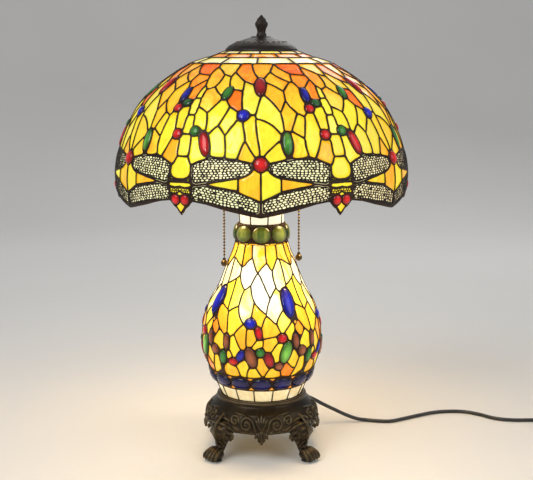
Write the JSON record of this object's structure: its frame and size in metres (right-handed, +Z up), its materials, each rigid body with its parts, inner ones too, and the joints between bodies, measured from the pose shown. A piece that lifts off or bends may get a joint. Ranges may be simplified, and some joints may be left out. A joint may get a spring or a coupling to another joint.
{
  "type": "stained glass table lamp",
  "caption": "Table lamp with a leaded glass dome shade of dragonflies over a leaded glass urn, on a cast bronze base with paw feet, bead pull chains and a cord.",
  "frame": {"origin": "on the table top, on the lamp's vertical axis, at the bottom centre of the lamp without its cord", "axes": "+Z up along the column, -Y towards the viewer's front between two dragonflies, +X to the right, the side the cord leaves to"},
  "size_m": [0.725, 0.4086, 0.617],
  "materials": {
    "bronze": "dark antique bronze patina, rubbed on the edges",
    "brass": "aged brass",
    "lead_came": "dark patinated solder and copper foil",
    "amber_glass": "streaky amber and yellow opalescent glass",
    "wing_glass": "cream opalescent glass under pierced filigree",
    "white_glass": "milky opalescent glass",
    "body_glass": "yellow-green streaky glass",
    "red_jewel": "pressed glass cabochon",
    "blue_jewel": "pressed glass cabochon",
    "green_jewel": "pressed glass cabochon",
    "urn_glass": "cream and amber opalescent glass",
    "bulb_glass": "frosted, lit",
    "ceramic": "glazed",
    "steel": "zinc plated",
    "felt": "felt",
    "black_pvc": "smooth flexible PVC",
    "plug_plastic": "moulded"
  },
  "bodies": {
    "stand": {"foot_pads": "felt", "paw_feet": "bronze", "base_casting": "bronze", "base_drops": "bronze", "rod_washer": "steel", "rod_nut": "steel", "cord_bushing": "black_pvc", "lamp_rod": "brass", "urn_lead_rings": "lead_came", "urn_foot_panes": "white_glass", "urn_blue_cabochons": "blue_jewel", "urn_blue_ring": "lead_came", "urn_glass": "urn_glass", "urn_green_cabochons": "green_jewel", "urn_green_ring": "lead_came", "urn_neck_panes": "white_glass", "urn_neck_cap": "bronze", "night_light_bracket": "steel", "night_light_socket": "ceramic", "cluster_body": "brass", "socket_shell_left": "brass", "socket_shell_right": "brass", "socket_insert_left": "ceramic", "socket_insert_right": "ceramic", "shade_riser": "brass", "cord_inner": "black_pvc", "cord_run": "black_pvc", "cord_coil": "black_pvc", "cord_tail": "black_pvc", "cord_tie": "black_pvc", "plug_body": "plug_plastic", "plug_pins": "steel"},
    "shade": {"shade_spider": "brass", "shade_lead_rings": "lead_came", "shade_thin_band": "white_glass", "shade_amber_band": "amber_glass", "shade_white_band": "white_glass", "shade_field_glass": "amber_glass", "shade_wing_panels": "wing_glass", "dragonfly_bodies": "body_glass", "dragonfly_eyes": "red_jewel", "wingtip_jewels": "red_jewel", "shade_rim_came": "lead_came", "heat_cap": "bronze"},
    "finial": {"finial": "bronze"},
    "bulb_left": {"bulb_base_left": "steel", "bulb_glass_left": "bulb_glass"},
    "bulb_right": {"bulb_base_right": "steel", "bulb_glass_right": "bulb_glass"},
    "night_bulb": {"night_light_bulb": "bulb_glass"},
    "pull_left": {"pull_wire_left": "brass"},
    "pull_right": {"pull_wire_right": "brass"},
    "chain_left": {"pull_chain_left": "brass"},
    "chain_right": {"pull_chain_right": "brass"}
  },
  "joints": [
    {"name": "shade_lift", "type": "slide", "parent": "stand", "child": "shade", "axis": [0, 0, 1], "range_m": [0, 0.35]},
    {"name": "finial_turn", "type": "hinge", "parent": "shade", "child": "finial", "pos_m": [0, 0, 0.6], "axis": [0, 0, 1], "continuous": true},
    {"name": "bulb_left_turn", "type": "hinge", "parent": "stand", "child": "bulb_left", "pos_m": [-0.06, 0, 0.474], "axis": [-1, 0, 0], "continuous": true},
    {"name": "bulb_right_turn", "type": "hinge", "parent": "stand", "child": "bulb_right", "pos_m": [0.06, 0, 0.474], "axis": [1, 0, 0], "continuous": true},
    {"name": "night_bulb_turn", "type": "hinge", "parent": "stand", "child": "night_bulb", "pos_m": [0.024, 0, 0.15], "axis": [0, 0, 1], "continuous": true},
    {"name": "pull_left_travel", "type": "slide", "parent": "stand", "child": "pull_left", "axis": [0, 0, -1], "range_m": [0, 0.008], "stiffness_N_per_m": 900},
    {"name": "chain_left_swing", "type": "hinge", "parent": "pull_left", "child": "chain_left", "pos_m": [-0.052, -0.026, 0.4485], "axis": [0, 1, 0], "range_deg": [-1.5, 40]},
    {"name": "pull_right_travel", "type": "slide", "parent": "stand", "child": "pull_right", "axis": [0, 0, -1], "range_m": [0, 0.008], "stiffness_N_per_m": 900},
    {"name": "chain_right_swing", "type": "hinge", "parent": "pull_right", "child": "chain_right", "pos_m": [0.052, -0.026, 0.4485], "axis": [0, -1, 0], "range_deg": [-1.5, 40]}
  ]
}
